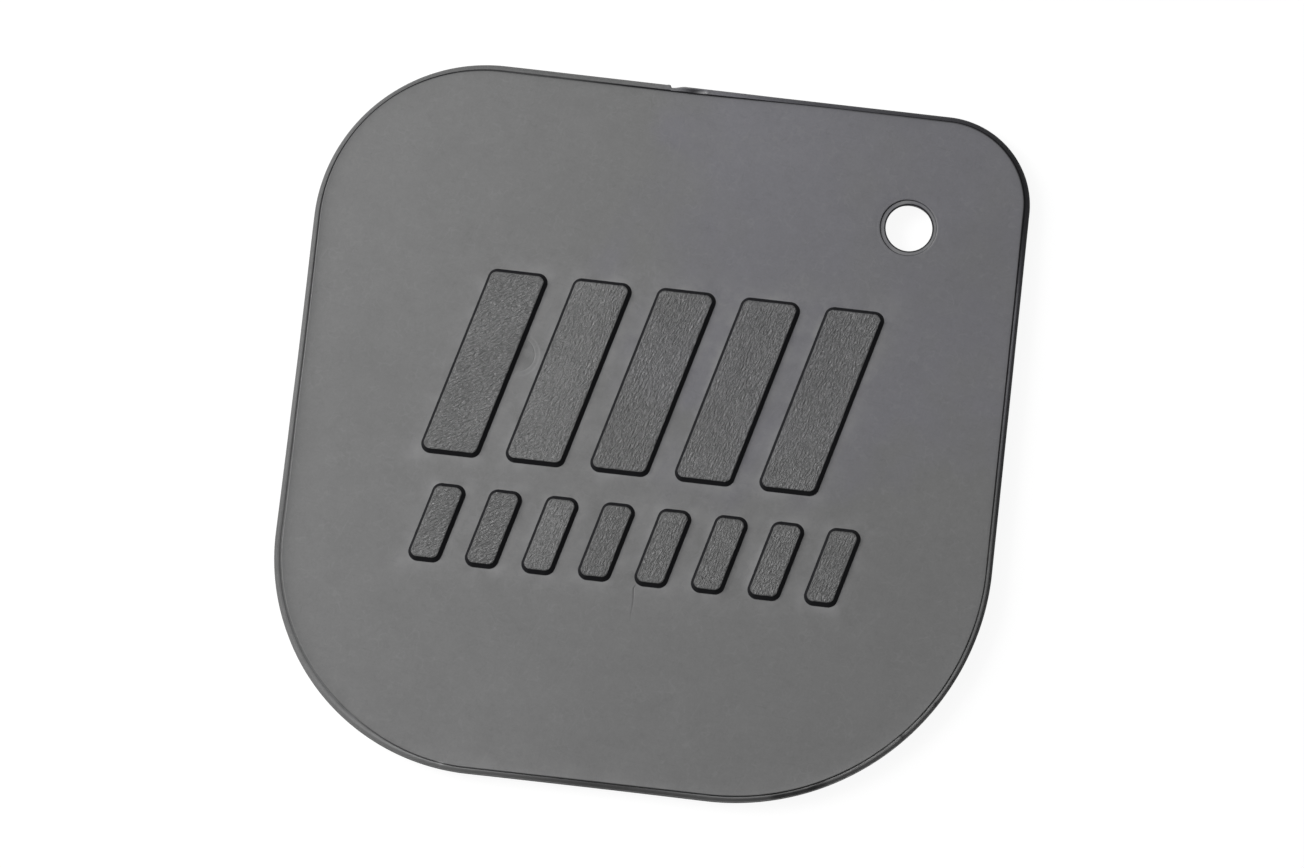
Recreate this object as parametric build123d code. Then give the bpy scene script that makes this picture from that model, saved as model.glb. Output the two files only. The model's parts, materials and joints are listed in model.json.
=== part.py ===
# Pan scraper: one moulded plate with four different round corners, a stepped rim, a hanging hole
# and a block of raised grip pads. It lies on its flat back, front face up, +Y towards its top side.
# Millimetres.

import os
from math import cos, radians, tan

from build123d import *

# Plate
plate_side = 76.0
plate_thickness = 2.5
corner_radius_top_left = 18.4
corner_radius_top_right = 9.5
corner_radius_bottom_right = 27.4
corner_radius_bottom_left = 23.0
back_edge_break = 0.15

# Rim: a narrow land round the front face, a small step below it, with a sloped outer edge.
# The face sits a little below the middle, so the land is widest along the top side.
rim_width = 0.66
rim_step = 0.16
rim_slope_width = 0.3
rim_slope_depth = 0.42
face_shift_down = 0.12

# Hanging hole, near the sharpest corner: a shallow round recess, a short straight bore below it,
# and a flare that opens towards the back
hole_diameter = 5.0
hole_inset_right = 12.7
hole_inset_top = 12.7
hole_recess_width = 0.55
hole_recess_depth = 0.15
hole_bore_length = 0.8
hole_flare_width = 0.35

# Grip pads: one row of long leaning bars above one row of short ones
pad_block_width = 48.0
pad_block_drop = 0.25
pad_row_gap = 3.1
long_pad_count = 5
long_pad_width = 6.4
long_pad_length = 20.5
short_pad_count = 8
short_pad_width = 3.6
short_pad_length = 8.5
pad_lean = 15
pad_height = 0.6
pad_corner_radius = 1.0
pad_wall_width = 0.38
pad_edge_round = 0.14

# Mark of the mould's gate in the middle of the top side: a nick that starts steeply, and a torn
# hollow beside it
gate_nick_width = 1.66
gate_nick_depth = 0.27
gate_nick_fall_width = 0.16
gate_nick_offset = -1.76
gate_scar_length = 2.8
gate_scar_depth = 0.26
gate_scar_offset = 0.7
gate_scar_tilt = 45

# How far a cutting shape runs past what it cuts
cut_overrun = 1.0


def scoop_radius(length, depth):
    """Radius of the round cutter that leaves a hollow of this length and depth."""
    return ((length / 2) ** 2 + depth**2) / (2 * depth)


def plate_outline():
    """The plate seen from the front: a square with four different round corners."""
    half = plate_side / 2
    outline = Rectangle(plate_side, plate_side)
    rounds = (
        ((-half, half), corner_radius_top_left),
        ((half, half), corner_radius_top_right),
        ((half, -half), corner_radius_bottom_right),
        ((-half, -half), corner_radius_bottom_left),
    )
    for corner, radius in rounds:
        vertex = outline.vertices().sort_by_distance(corner)[0]
        outline = fillet(vertex, radius)
    return outline


def body_of_plate():
    """The plate with its rim: the full outline up to the land, and the front face above it."""
    outline = plate_outline()
    land_height = plate_thickness - rim_step
    base = extrude(outline, land_height)
    outer_edges = base.edges().group_by(Axis.Z)[-1]
    top_of_base = base.faces().sort_by(Axis.Z)[-1]
    base = chamfer(outer_edges, rim_slope_width, rim_slope_depth, reference=top_of_base)
    base = chamfer(base.edges().group_by(Axis.Z)[0], back_edge_break)
    front = extrude(offset(outline, -rim_width), plate_thickness)
    return base + Pos(0, -face_shift_down, 0) * front


def leaning_bar(width, length, radius):
    """A parallelogram with round corners. Its width is measured level, its length straight up."""
    shift = length * tan(radians(pad_lean))
    corners = [
        (-(width + shift) / 2, -length / 2),
        ((width - shift) / 2, -length / 2),
        ((width + shift) / 2, length / 2),
        (-(width - shift) / 2, length / 2),
    ]
    return fillet(Polygon(*corners).vertices(), radius)


def grip_pad(width, length):
    """One raised pad, standing on z = 0, with walls that slope in and a softened top edge."""
    foot = leaning_bar(width, length, pad_corner_radius)
    top_width = width - 2 * pad_wall_width / cos(radians(pad_lean))
    top_length = length - 2 * pad_wall_width
    top = leaning_bar(top_width, top_length, pad_corner_radius - pad_wall_width)
    pad = loft([foot, Pos(0, 0, pad_height) * top], ruled=True)
    return fillet(pad.edges().group_by(Axis.Z)[-1], pad_edge_round)


def pad_row(count, width, length, middle):
    """One row of pads across the block, with its middle at this height on the plate."""
    shift = length * tan(radians(pad_lean))
    reach = pad_block_width - width - shift
    places = [
        Pos(reach * (number / (count - 1) - 1 / 2), middle, plate_thickness)
        for number in range(count)
    ]
    return [place * grip_pad(width, length) for place in places]


def grip_pads():
    """Both rows of pads on the front face."""
    block_length = long_pad_length + pad_row_gap + short_pad_length
    long_middle = block_length / 2 - pad_block_drop - long_pad_length / 2
    short_middle = long_middle - (long_pad_length + short_pad_length) / 2 - pad_row_gap
    long_row = pad_row(long_pad_count, long_pad_width, long_pad_length, long_middle)
    short_row = pad_row(short_pad_count, short_pad_width, short_pad_length, short_middle)
    return long_row + short_row


def hanging_hole():
    """The bore, the recess round its mouth and the flare behind it, as one cutting shape."""
    radius = hole_diameter / 2
    recess_floor = plate_thickness - hole_recess_depth
    flare_length = recess_floor - hole_bore_length
    slope = hole_flare_width / flare_length
    profile = [
        (0, -cut_overrun),
        (radius + hole_flare_width + slope * cut_overrun, -cut_overrun),
        (radius, flare_length),
        (radius, recess_floor),
        (radius + hole_recess_width, recess_floor),
        (radius + hole_recess_width, plate_thickness + cut_overrun),
        (0, plate_thickness + cut_overrun),
    ]
    cutter = revolve(Plane.XZ * make_face(Polyline(*profile, close=True)), Axis.Z)
    across = plate_side / 2 - hole_inset_right
    up = plate_side / 2 - hole_inset_top
    return Pos(across, up, 0) * cutter


def gate_mark():
    """The nick and the torn hollow in the middle of the top side, as one cutting shape."""
    edge = plate_side / 2
    nick_outline = Polygon(
        (0, cut_overrun),
        (0, 0),
        (gate_nick_fall_width, -gate_nick_depth),
        (gate_nick_width, 0),
        (gate_nick_width, cut_overrun),
        align=None,
    )
    nick = extrude(nick_outline, plate_thickness + 2 * cut_overrun)
    nick = Pos(gate_nick_offset, edge, -cut_overrun) * nick
    scar_radius = scoop_radius(gate_scar_length, gate_scar_depth)
    lip_height = plate_thickness - rim_step - rim_slope_depth / 2
    lip = Pos(gate_scar_offset, edge - rim_slope_width / 2, lip_height)
    out = Pos(0, 0, scar_radius - gate_scar_depth)
    scar = lip * Rot(-gate_scar_tilt, 0, 0) * out * Sphere(scar_radius)
    return nick + scar


scraper_plate = body_of_plate() + grip_pads()
scraper_plate = scraper_plate - hanging_hole() - gate_mark()

os.makedirs("parts", exist_ok=True)
export_step(scraper_plate, "parts/scraper_plate.step")
print("scraper_plate", scraper_plate.bounding_box().size, "volume", scraper_plate.volume)
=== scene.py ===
import json
from collections import namedtuple
from math import atan2, ceil, cos, exp, floor, pi, radians, sin, sqrt, tan

import bpy
from mathutils import Matrix, Vector, noise
from mathutils.geometry import delaunay_2d_cdt


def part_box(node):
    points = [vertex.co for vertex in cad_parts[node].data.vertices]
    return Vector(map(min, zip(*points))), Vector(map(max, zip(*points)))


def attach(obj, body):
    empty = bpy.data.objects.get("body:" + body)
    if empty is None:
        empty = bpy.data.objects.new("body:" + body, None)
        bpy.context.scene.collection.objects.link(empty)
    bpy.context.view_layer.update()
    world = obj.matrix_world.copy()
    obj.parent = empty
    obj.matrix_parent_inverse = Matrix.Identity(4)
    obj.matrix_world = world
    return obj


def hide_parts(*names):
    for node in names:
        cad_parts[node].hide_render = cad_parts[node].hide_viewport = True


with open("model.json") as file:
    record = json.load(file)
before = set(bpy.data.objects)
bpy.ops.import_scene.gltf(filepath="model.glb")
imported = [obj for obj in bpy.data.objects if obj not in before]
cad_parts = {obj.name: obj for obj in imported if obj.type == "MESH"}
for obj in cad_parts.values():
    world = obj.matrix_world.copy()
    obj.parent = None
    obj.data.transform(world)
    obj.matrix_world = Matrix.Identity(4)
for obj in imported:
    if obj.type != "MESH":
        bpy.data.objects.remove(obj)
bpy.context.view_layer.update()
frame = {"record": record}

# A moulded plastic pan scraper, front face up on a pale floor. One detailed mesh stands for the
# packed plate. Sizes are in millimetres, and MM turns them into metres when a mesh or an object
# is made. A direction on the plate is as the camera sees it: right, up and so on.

MM = 0.001
plate_low, plate_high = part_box("scraper_plate")

# Spacing of the mesh
EDGE_STEP = 0.34
GATE_STEP = 0.09
GATE_BEFORE = 0.6
GATE_AFTER = 0.9
ARC_STEPS = 8
ROUNDING_STEPS = 3
FACE_STEP = 0.95
FACE_CLEAR = FACE_STEP / 3
PAD_STEP = 0.15
BACK_STEP = 2.4
BACK_CLEAR = BACK_STEP / 3
CIRCLE_STEPS = 108
RING_STEP = 0.16
RING_SHARES = (-1.6, -1, -0.5, 0, 0.5, 1, 1.6)
WELD_STEP = 0.12
JITTER_SHARE = 0.25
JITTER_LENGTH_SHARE = 0.7
GUARD = 0.06
MERGE_DISTANCE = 1e-7
INSIDE_ONLY = 1

# Seeds that keep the noises apart, the last four added to a pad's own number
JITTER_SEEDS = (1.5, 2.5)
DRIFT_SEED = 40
WIDE_SEED = 7
PATCH_SEED = 3
WALL_SEED = 20

# Plate
PLATE_SIDE = (plate_high.x - plate_low.x) / MM
HALF_SIDE = PLATE_SIDE / 2
RELIEF_TOP = plate_high.z / MM
PAD_HEIGHT = 0.6
FACE_HEIGHT = RELIEF_TOP - PAD_HEIGHT
CORNER_RADII = {(-1, -1): 23.0, (1, -1): 27.4, (1, 1): 9.5, (-1, 1): 18.4}
DRAW_IN_BOTTOM = 0.03
DRAW_IN_RIGHT = 0.0
DRAW_IN_TOP = 0.03
DRAW_IN_LEFT = 0.1
DRAW_IN_POWER = 1.5
BACK_BREAK = 0.15
BACK_BREAK_BULGE = 0.35 * BACK_BREAK

# Uneven values: level, swing, wavelength and seed
EDGE_WAVE = (0.008, 0.008, 5.0, 3.1)
FACE_WAVE = (FACE_HEIGHT, 0.012, 9.0, 5.7)
STEP_FILL = (0.85, 0.3, 1.3, 8.2)
SCUFF_STRENGTH = (0.8, 0.3, 0.8, 4.4)

# Rim: a sloped outer edge, a narrow land and a small step up to the face
RIM_WIDTH = 0.6
RIM_STEP = 0.16
SLOPE_WIDTH = 0.3
SLOPE_DEPTH = 0.42
SLOPE_FOOT_ROUND = 0.06
SLOPE_TOP_ROUND = 0.08
# A land that falls this far takes the slope's full painted shade
FULL_FALL = 0.2
STEP_LEAN = 0.08
STEP_GROOVE = 0.035
STEP_GROOVE_ROUND = 0.4 * STEP_GROOVE
STEP_LINE = STEP_LEAN + 1.5 * STEP_GROOVE
# Painted light on the rim beyond which it covers the step's line too
STEP_PAINTED_LIGHT_START = 0.75
# Painted shade on the lower half of the rim's outer wall
WALL_SHADE = 0.8

# The rim on its way round, a line for each sixteenth of a turn, counter-clockwise from the right:
# how far the outline is drawn in, the width, the fall of the land, the painted shade, which below
# zero is painted light making the rim paler, and how sharp the step and its painted line still are
Rim = namedtuple("Rim", "draw width fall grime sharpness")
RIM_AROUND = (
    Rim(0.0, 0.74, 0.0, 0.6, 0.55),
    Rim(0.0, 0.73, 0.0, 0.4, 0.65),
    Rim(0.0, 0.78, 0.35, 0.8, 1.0),
    Rim(0.0, 0.7, 0.2, 0.6, 0.85),
    Rim(0.0, 0.87, 0.0, 0.0, 1.2),
    Rim(0.0, 0.86, 0.0, 0.2, 0.65),
    Rim(0.05, 0.59, 0.03, 0.32, 1.2),
    Rim(0.0, 0.7, 0.0, 0.28, 0.8),
    Rim(0.0, 0.71, 0.0, 0.22, 0.55),
    Rim(0.07, 0.82, 0.0, 0.35, 0.3),
    Rim(0.02, 0.88, 0.0, -0.05, 0.0),
    Rim(0.03, 0.49, 0.0, -0.5, 0.45),
    Rim(0.02, 0.5, 0.08, 0.25, 0.9),
    Rim(0.0, 0.56, 0.0, -0.27, 0.5),
    Rim(0.03, 0.65, 0.15, -1.0, 0.0),
    Rim(0.0, 0.74, 0.0, 0.3, 0.2),
)

# The face's edge inside the rim: a low rise, highest towards one side, and a line of painted shade
FACE_EDGE_ROUND = 0.04
FACE_EDGE_SHADE = 0.45
FACE_RISE = 0.065
FACE_RISE_REACH = 0.65
FACE_RISE_SHARE = 0.7
FACE_RISE_TOWARDS = Vector((0.5, 1.0))
FACE_RISE_LOOPS = (0.1, 0.2, 0.35, 0.55, 0.9, 1.4, 2.0)
FACE_PAINTED_SHADE = 0.3
FACE_PAINTED_SHADE_REACH = 0.27
FACE_PAINTED_SHADE_TURN = 1.4

# Hanging hole in a shallow recess, flared towards the back
HOLE = next(m for m in frame["record"]["mounts"] if m["name"] == "hanging_hole")
HOLE_CENTRE = Vector(HOLE["pos_m"][:2]) / MM
HOLE_RADIUS = HOLE["dims"]["r_mm"]
HOLE_LIP_REACH = 0.35
HOLE_LIP_RISE = 0.02
HOLE_WOBBLE_SHARE = 0.003
HOLE_LOBES = 3
RECESS_WIDTH = 0.55
RECESS_DEPTH = 0.15
RECESS_FLOOR = FACE_HEIGHT - RECESS_DEPTH
RECESS_LEAN = 0.03
RECESS_SHIFT = Vector((-0.08, 0.0))
RECESS_ROUND = 0.03
# Painted shade lines round the recess's top and foot, at the bore's edge and down the flare
RECESS_TOP_SHADE = 0.1
RECESS_FOOT_SHADE = 0.5
BORE_LINE = 0.19
BORE_EDGE_ROUND = 0.11
BORE_EDGE_SHADE = 0.95
BORE_STRAIGHT = 0.22
FLARE_WIDTH = 0.35
FLARE_ROUND = 0.05
FLARE_SHADE = 0.2

# Grip pads: a row of long leaning bars above a row of short ones
PadRow = namedtuple("PadRow", "count width length")
LONG_PADS = PadRow(5, 6.4, 20.5)
SHORT_PADS = PadRow(8, 3.6, 8.5)
PAD_BLOCK_WIDTH = 48.0
PAD_BLOCK_DROP = 0.25
PAD_ROW_GAP = 3.1
PAD_LEAN = radians(15)
PAD_CORNER = 1.0
PAD_FOOT_ROUND = 0.03
PAD_FOOT_CLEAR = 0.06
PAD_WALL_WIDTH = 0.35
PAD_WALL_BEND_SHARES = (0.85, 0.75)
# Walls narrow on the left and widest at the bottom, so their painted shade spreads as a painted
# shadow
PAD_WALL_LOPSIDED = Vector((0.08, -0.03))
PAD_WALL_EXTRA = 0.08
PAD_WALL_WAVE = 0.02
PAD_WALL_WAVE_LENGTH = 0.9
PAD_WALL_WIDEST = PAD_WALL_WIDTH + max(PAD_WALL_LOPSIDED.x, PAD_WALL_EXTRA - PAD_WALL_LOPSIDED.y)
PAD_EDGE_ROUND = 0.06
PAD_EDGE_SHADE = 0.15
PAD_CROWN_REACH = 0.2
PAD_CROWN_DROP = 0.01

# How far inside a pad's foot its top's own points start, and how near a corner they are sorted
PAD_TOP_INSET = PAD_WALL_WIDEST + PAD_EDGE_ROUND + GUARD + PAD_STEP / 2
PAD_TOP_ROUNDING = (PAD_CORNER - PAD_TOP_INSET) * (1 - sqrt(1 / 2)) + PAD_STEP / 4
PAD_CORNER_NEAR = PAD_CORNER * 0.9 + PAD_TOP_ROUNDING

# Grain of the pad tops: wrinkles drawn out along an angle, with a slow drift, stronger in patches
GRAIN_HEIGHT = 0.075
GRAIN_LENGTH = 0.5
GRAIN_WIDTH = 0.24
GRAIN_ANGLE_LEFT = radians(28)
GRAIN_ANGLE_RIGHT = radians(68)
GRAIN_LEVEL = 0.55
GRAIN_COARSE_SHARE = 0.5
GRAIN_WIDE_SHARE = 0.3
GRAIN_WIDE_SCALES = (0.6, 0.5)
GRAIN_PATCHES = (0.8, 0.5, 2.6)
GRAIN_DRIFT = 0.5
GRAIN_DRIFT_LENGTH = 2.4
GRAIN_FADE = 0.15

# Gate mark in the middle of the top side: a nick in the edge with a lip on its left
GATE_BAND = 1.0
NICK_START = -1.76
NICK_DEEPEST = -1.6
NICK_END = -0.1
NICK_DEPTH = 0.27
NICK_LIP = NICK_START - 0.14
NICK_LIP_REACH = 0.16
NICK_LIP_HEIGHT = 0.035

# Torn hollow beside the nick, with painted shade in it, a lip on its right and two pale lips
SCAR_START = -0.7
SCAR_END = 2.1
SCAR_SKEW = 1.2
SCAR_DEPTH = 0.16
SCAR_PAINTED_SHADE = 0.85
SCAR_LIP = 2.3
SCAR_LIP_REACH = 0.22
SCAR_LIP_HEIGHT = 0.08
PALE_LIP_LEFT = -0.25
PALE_LIP_LEFT_SHARE = 0.65
PALE_LIP_RIGHT = 1.9
PALE_LIP_RIGHT_SHARE = 0.5
PALE_LIP_REACH = 0.7

# Ejector pin circle: a small step down and a fine line inside it
PIN_CENTRE = Vector((-14.7, 6.9))
PIN_RADIUS = 2.35
PIN_STEP = 0.018
PIN_STEP_REACH = 0.12
PIN_LINE_RADIUS = 1.85
PIN_LINE_DEPTH = 0.014
PIN_LINE_REACH = 0.05
PIN_LINE_SPREAD = 0.06

# Weld line below the short pads
WELD_X = 0.43
WELD_TOP = -16.55
WELD_BOTTOM = -20.4
WELD_DEPTH = 0.025
WELD_HALF_WIDTH = 0.1
WELD_BEND = 0.05
WELD_BEND_RATE = 2

# Dents in the rim, each a place, a reach and a depth, and small ticks in its outer edge
RIM_DENTS = ((Vector((-22.6, -35.4)), 0.5, 0.07), (Vector((2.4, -38.0)), 0.35, 0.05))
EDGE_TICKS = (Vector((-38.0, 15.6)), Vector((-38.0, 8.9)))
EDGE_TICK_REACH = EDGE_STEP / 2
EDGE_TICK_DEPTH = 0.05

# Marks of tone in the lower rim: dark ticks, a pale fleck, and a scuffed dark stretch of the slope
DARK_TICKS = (Vector((35.2, -22.6)), Vector((33.5, -25.2)), Vector((30.3, -29.0)))
DARK_TICK_REACH = 0.28
DARK_TICK_SHADE = 0.6
PALE_FLECK = Vector((-17.7, -37.4))
PALE_FLECK_REACH = 0.3
PALE_DEPTH = 0.64
SCUFF_START = 16.9
SCUFF_END = 23.3
SCUFF_TIP = 0.9
SCUFF_SHADE = 0.85

# Painted light on the face: round the pads, and in a strip inside the lower left part of the rim
PAINTED_LIGHT_BAND = 0.1
PAINTED_LIGHT_REACH = 0.9
STRIP_PAINTED_LIGHT = 0.6
STRIP_TOP = -20.0
STRIP_RIGHT = 15.0
STRIP_FADE = 15.0
STRIP_REACH = 1.0

# Finishes, in the order of the mesh's materials
FACE, GRAIN, EDGE, WALL = range(4)

# A loop of a profile: how far across and up it lies, its painted shade, and the finish that follows
Loop = namedtuple("Loop", "across up shade finish")


def ease(share):
    """A smooth rise from 0 to 1."""
    share = min(max(share, 0), 1)
    return share * share * (3 - 2 * share)


def bell(distance, reach):
    """1 in the middle of a mark, falling smoothly to nothing on both sides."""
    return exp(-((distance / reach) ** 2))


def fade(distance, reach):
    """1 up to where a mark ends, falling off beyond it."""
    return exp(-max(distance, 0) / reach)


def noise_at(point, length, seed):
    """Smooth noise with this wavelength, about -1 to 1."""
    return noise.noise(Vector((point.x / length, point.y / length, seed)))


def uneven(point, level, swing, length, seed):
    """A value that swings about its level from place to place."""
    return level + swing * noise_at(point, length, seed)


def direction(angle):
    """The direction at an angle, counter-clockwise from the right."""
    return Vector((cos(angle), sin(angle)))


def left_of(heading):
    """The direction a quarter turn to the left."""
    return Vector((-heading.y, heading.x))


def on_top_side(inward):
    """Whether a place of the outline lies on the straight top side."""
    return inward.y < -0.999


def stretch(start, end, step):
    """Points between two points, with neither end, no further apart than step allows there."""
    length = (end - start).length
    along = (end - start) / length
    stations = []
    walked = step(start)
    while walked < length - GATE_STEP / 2:
        stations.append(start + along * walked)
        walked += step(stations[-1])
    return stations


def corner_arc(corners, k, radius):
    """Directions to and from a corner, and how far back and where its rounding is centred."""
    arrive = (corners[k] - corners[k - 1]).normalized()
    leave = (corners[(k + 1) % len(corners)] - corners[k]).normalized()
    reach = radius * tan(arrive.angle(leave) / 2)
    return arrive, leave, reach, corners[k] - arrive * reach + left_of(arrive) * radius


def rounded_loop(corners, radii, draw_ins, step, arc_step):
    """Places round a convex outline, counter-clockwise, each a point and its inward direction.

    The straight side after a corner bows in by its draw-in.
    """
    places = []
    arcs = [corner_arc(corners, k, radius) for k, radius in enumerate(radii)]
    for k, (arrive, leave, reach, centre) in enumerate(arcs):
        turn = arrive.angle(leave)
        pieces = max(ARC_STEPS, ceil(radii[k] * turn / arc_step))
        for i in range(pieces + 1):
            outward = Matrix.Rotation(turn * i / pieces, 2) @ -left_of(arrive)
            places.append((centre + outward * radii[k], -outward))
        after = (k + 1) % len(arcs)
        next_reach = arcs[after][2]
        start = corners[k] + leave * reach
        end = corners[after] - leave * next_reach
        for point in stretch(start, end, step):
            share = (point - start).length / (end - start).length
            bow = draw_ins[k] * (4 * share * (1 - share)) ** DRAW_IN_POWER
            places.append((point + left_of(leave) * bow, left_of(leave)))
    return places


def soft_line(corners):
    """The loops of a profile, with its corners rounded.

    A corner is across, up, rounding, painted shade, and the finish of the band that follows it.
    """
    loops = []
    for k, (across, up, rounding, shade, finish) in enumerate(corners):
        here = Vector((across, up))
        if rounding == 0:
            loops.append(Loop(across, up, shade, finish))
            continue
        before = Vector(corners[k - 1][:2])
        after = Vector(corners[k + 1][:2])
        start = here + (before - here).normalized() * rounding
        end = here + (after - here).normalized() * rounding
        for i in range(ROUNDING_STEPS + 1):
            t = i / ROUNDING_STEPS
            point = start * (1 - t) ** 2 + here * 2 * t * (1 - t) + end * t**2
            loops.append(Loop(point.x, point.y, shade, finish))
    return loops


def lattice(low, high, step):
    """Staggered rows of points that fill a rectangle, each a little out of line."""
    row_step = step * sqrt(3) / 2
    rows = ceil((high.y - low.y) / row_step)
    columns = ceil((high.x - low.x) / step)
    points = []
    for row in range(rows + 1):
        for column in range(columns + 1):
            point = low + Vector(((column + row % 2 / 2) * step, row * row_step))
            jitter = [noise_at(point, step * JITTER_LENGTH_SHARE, seed) for seed in JITTER_SEEDS]
            points.append(point + Vector(jitter) * step * JITTER_SHARE)
    return points


class Shell:
    """The points and faces of the one moulding, gathered loop by loop."""

    def __init__(self):
        self.points = []
        self.shades = []
        self.faces = []
        self.finishes = []

    def add(self, points, shade):
        """Adds points and gives their numbers."""
        first = len(self.points)
        self.points += points
        self.shades += [shade] * len(points)
        return list(range(first, len(self.points)))

    def band(self, first, second, finish):
        """Joins two closed loops that have as many points."""
        count = len(first)
        for i in range(count):
            j = (i + 1) % count
            self.faces.append((first[i], first[j], second[j], second[i]))
            self.finishes.append(finish)

    def sweep(self, profile, points_of):
        """Adds the loops of a profile and joins them, each band in its finish."""
        loops = [self.add(points_of(loop), loop.shade) for loop in profile]
        for k, loop in enumerate(profile[:-1]):
            self.band(loops[k], loops[k + 1], loop.finish)
        return loops

    def settle(self, loop):
        """Lays a loop on the front face."""
        for number in loop:
            x, y = self.points[number][:2]
            self.points[number] = (x, y, face_height(Vector((x, y))))

    def fill(self, outer, holes, inner, finish, up=True):
        """Fills an outline that has holes with triangles that use the inner points."""
        numbers = list(outer)
        edges = [(i, (i + 1) % len(outer)) for i in range(len(outer))]
        owner = {number: 0 for number in outer}
        for name, hole in enumerate(holes, start=1):
            start = len(numbers)
            numbers += hole
            edges += [(start + i, start + (i + 1) % len(hole)) for i in range(len(hole))]
            owner.update((number, name) for number in hole)
        numbers += inner
        flat = [Vector(self.points[number][:2]) for number in numbers]
        made = delaunay_2d_cdt(flat, edges, [], INSIDE_ONLY, MERGE_DISTANCE)
        triangles, origins = made[2:4]
        for triangle in triangles:
            corners = [numbers[origins[i][0]] for i in triangle]
            owners = {owner.get(number) for number in corners}
            if len(owners) == 1 and owners != {None} and owners != {0}:
                continue
            self.faces.append(tuple(corners if up else reversed(corners)))
            self.finishes.append(finish)

    def drop_unused(self):
        """Leaves out the points that no face uses."""
        used = sorted({number for face in self.faces for number in face})
        renumbered = {number: k for k, number in enumerate(used)}
        self.points = [self.points[number] for number in used]
        self.shades = [self.shades[number] for number in used]
        self.faces = [tuple(renumbered[number] for number in face) for face in self.faces]


class Pad(namedtuple("Pad", "centre width length")):
    """One leaning bar: its middle, its size and what it measures from there."""

    def corners(self):
        """The corners of the bar's foot, counter-clockwise."""
        shift = self.length * tan(PAD_LEAN)
        across = (-(self.width + shift), self.width - shift, self.width + shift, shift - self.width)
        up = (-self.length, -self.length, self.length, self.length)
        return [self.centre + Vector((x, y)) / 2 for x, y in zip(across, up)]

    def depth(self, point):
        """How far inside the bar's foot a point lies, less than zero outside it."""
        offset = point - self.centre
        sideways = abs(offset.x * cos(PAD_LEAN) - offset.y * sin(PAD_LEAN))
        lengthways = abs(offset.y)
        return min(self.width / 2 * cos(PAD_LEAN) - sideways, self.length / 2 - lengthways)


def pad_row(row, middle):
    """One row of pads across the block."""
    reach = PAD_BLOCK_WIDTH - row.width - row.length * tan(PAD_LEAN)
    shares = [k / (row.count - 1) - 1 / 2 for k in range(row.count)]
    return [Pad(Vector((reach * share, middle)), row.width, row.length) for share in shares]


def all_pads():
    """Both rows of pads."""
    block_length = LONG_PADS.length + PAD_ROW_GAP + SHORT_PADS.length
    long_middle = block_length / 2 - PAD_BLOCK_DROP - LONG_PADS.length / 2
    short_middle = long_middle - (LONG_PADS.length + SHORT_PADS.length) / 2 - PAD_ROW_GAP
    return pad_row(LONG_PADS, long_middle) + pad_row(SHORT_PADS, short_middle)


def plate_depth(point):
    """How far inside the plate's outline a point lies."""
    radius = CORNER_RADII[(1 if point.x > 0 else -1, 1 if point.y > 0 else -1)]
    beyond = Vector((abs(point.x), abs(point.y))) - Vector((1, 1)) * (HALF_SIDE - radius)
    if beyond.x > 0 and beyond.y > 0:
        return radius - beyond.length
    return HALF_SIDE - max(abs(point.x), abs(point.y))


def nick_depth(x):
    """How far the gate's nick draws the edge in at this place along the top side."""
    if x < NICK_DEEPEST:
        rise = ease((x - NICK_START) / (NICK_DEEPEST - NICK_START))
        return NICK_DEPTH * rise - NICK_LIP_HEIGHT * bell(x - NICK_LIP, NICK_LIP_REACH)
    return NICK_DEPTH * (1 - ease((x - NICK_DEEPEST) / (NICK_END - NICK_DEEPEST)))


def scar_share(x):
    """How deep the torn hollow is at this place along the top side, 1 at its deepest."""
    share = (x - SCAR_START) / (SCAR_END - SCAR_START)
    return sin(pi * share**SCAR_SKEW) if 0 < share < 1 else 0


def scuff_share(point, across):
    """How strong the scuff is on the rim's slope. Its right end runs on over the land."""
    if point.y > 0 or not SCUFF_START < point.x < SCUFF_END:
        return 0
    from_right = SCUFF_END - point.x
    strength = ease(min(point.x - SCUFF_START, from_right) / SCUFF_TIP)
    reach = SLOPE_WIDTH * (2 - ease(from_right / SCUFF_TIP - 1))
    inside = 1 - ease(2 * (across - reach) / SLOPE_WIDTH)
    return strength * inside * min(uneven(point, *SCUFF_STRENGTH), 1)


def tick_share(point):
    """How strong the nearest dark tick is at a point, 1 in its middle."""
    return bell(min((point - tick).length for tick in DARK_TICKS), DARK_TICK_REACH)


def rim_around(point):
    """What the rim is like at a point, between the two nearest lines of its table."""
    turn = atan2(point.y, point.x) / (2 * pi) * len(RIM_AROUND)
    before = floor(turn)
    here = RIM_AROUND[before % len(RIM_AROUND)]
    after = RIM_AROUND[(before + 1) % len(RIM_AROUND)]
    return Rim(*[a + (b - a) * ease(turn - before) for a, b in zip(here, after)])


def rim_marks(place, across, up):
    """How far the gate mark, the dents and the ticks draw the rim in and lower it at a point."""
    point, inward = place
    edge_share = 1 - min(across / RIM_WIDTH, 1)
    above_wall = ease((up - FACE_HEIGHT + SLOPE_DEPTH + RIM_STEP) / SLOPE_DEPTH)
    over_rim = sin(pi * min(across / RIM_WIDTH, 1)) * above_wall
    drawn_in = 0
    lowered = 0
    if on_top_side(inward):
        drawn_in += nick_depth(point.x) * edge_share
        lowered += SCAR_DEPTH * scar_share(point.x) * over_rim
        lowered -= SCAR_LIP_HEIGHT * bell(point.x - SCAR_LIP, SCAR_LIP_REACH) * over_rim
    for dent, reach, depth in RIM_DENTS:
        near = bell((point - dent).length, reach)
        drawn_in += depth * near * edge_share * above_wall
        lowered += depth * near * over_rim
    for tick in EDGE_TICKS:
        near = bell((point - tick).length, EDGE_TICK_REACH)
        lowered += EDGE_TICK_DEPTH * near * edge_share * above_wall
    return drawn_in, lowered


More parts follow.
